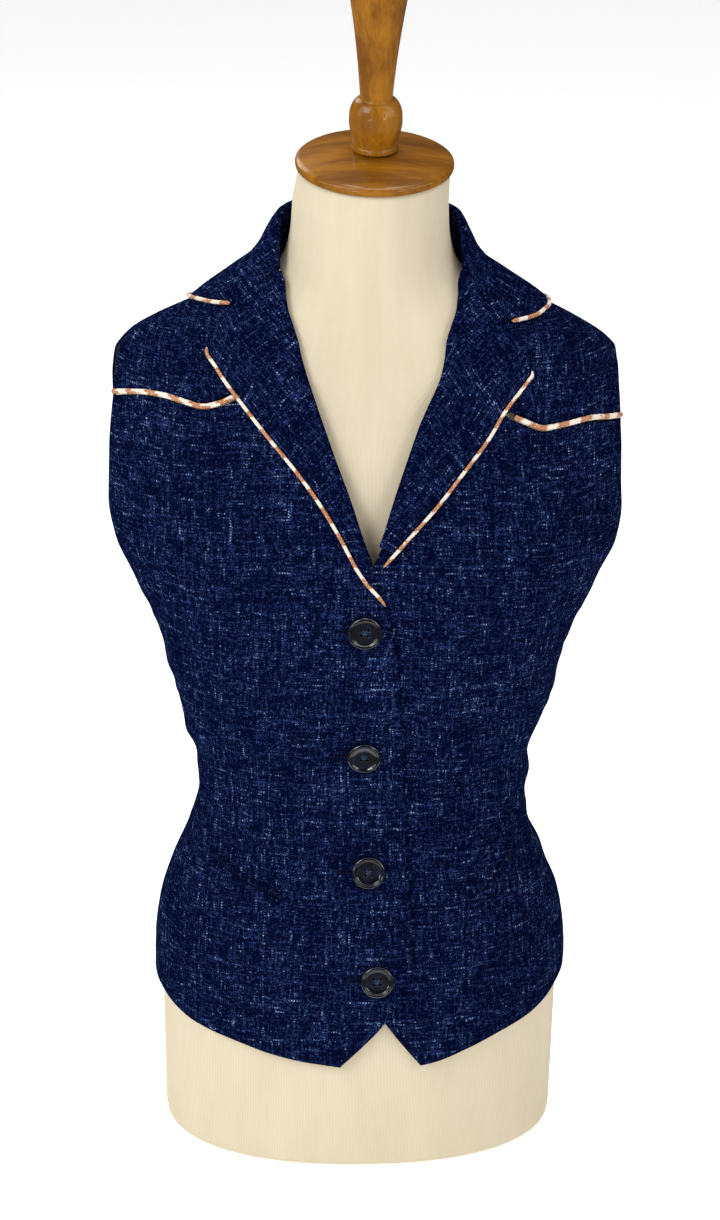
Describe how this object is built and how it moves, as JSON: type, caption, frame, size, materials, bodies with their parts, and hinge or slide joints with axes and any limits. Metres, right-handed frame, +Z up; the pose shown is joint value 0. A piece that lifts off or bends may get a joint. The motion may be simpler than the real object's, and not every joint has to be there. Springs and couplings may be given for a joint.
{
  "type": "western vest on a limbless dress form",
  "caption": "Sleeveless western vest with notched collar, piped lapels and front yokes, buttoned front and pointed hem, shown on a limbless dress form with a turned wooden finial.",
  "frame": {"origin": "centre of the dress form's flat underside, on the ground", "axes": "+Z up, the front of the vest faces -Y, the wearer's left is +X"},
  "size_m": [0.3487, 0.2314, 0.8253],
  "materials": {
    "form_torso": "fine ribbed cream jersey stretched over the body, matt",
    "neck_cap": "turned wood, red-brown, satin varnish",
    "finial": "turned wood, red-brown, satin varnish",
    "back": "woven dark navy cloth with pale blue slub flecks in both directions, matt",
    "front_right": "woven dark navy cloth with pale blue slub flecks in both directions, matt",
    "front_left": "woven dark navy cloth with pale blue slub flecks in both directions, matt",
    "yoke_right": "woven dark navy cloth with pale blue slub flecks in both directions, matt",
    "yoke_left": "woven dark navy cloth with pale blue slub flecks in both directions, matt",
    "lapel_right": "woven dark navy cloth with pale blue slub flecks in both directions, matt",
    "lapel_left": "woven dark navy cloth with pale blue slub flecks in both directions, matt",
    "collar": "woven dark navy cloth with pale blue slub flecks in both directions, matt",
    "lapel_piping_right": "round piping cord, cream with irregular tan blotches",
    "lapel_piping_left": "round piping cord, cream with irregular tan blotches",
    "yoke_piping_right": "round piping cord, cream with irregular tan blotches",
    "yoke_piping_left": "round piping cord, cream with irregular tan blotches",
    "collar_piping": "round piping cord, cream with irregular tan blotches",
    "welt_right": "woven dark navy cloth with pale blue slub flecks in both directions, matt",
    "welt_left": "woven dark navy cloth with pale blue slub flecks in both directions, matt",
    "button_1": "polished blue-black resin with a raised rim",
    "button_2": "polished blue-black resin with a raised rim",
    "button_3": "polished blue-black resin with a raised rim",
    "button_4": "polished blue-black resin with a raised rim"
  },
  "bodies": {
    "root": {"form_torso": "form_torso", "neck_cap": "neck_cap", "finial": "finial", "back": "back", "front_right": "front_right", "front_left": "front_left", "yoke_right": "yoke_right", "yoke_left": "yoke_left", "lapel_right": "lapel_right", "lapel_left": "lapel_left", "collar": "collar", "lapel_piping_right": "lapel_piping_right", "lapel_piping_left": "lapel_piping_left", "yoke_piping_right": "yoke_piping_right", "yoke_piping_left": "yoke_piping_left", "collar_piping": "collar_piping", "welt_right": "welt_right", "welt_left": "welt_left", "button_1": "button_1", "button_2": "button_2", "button_3": "button_3", "button_4": "button_4"}
  },
  "joints": []
}
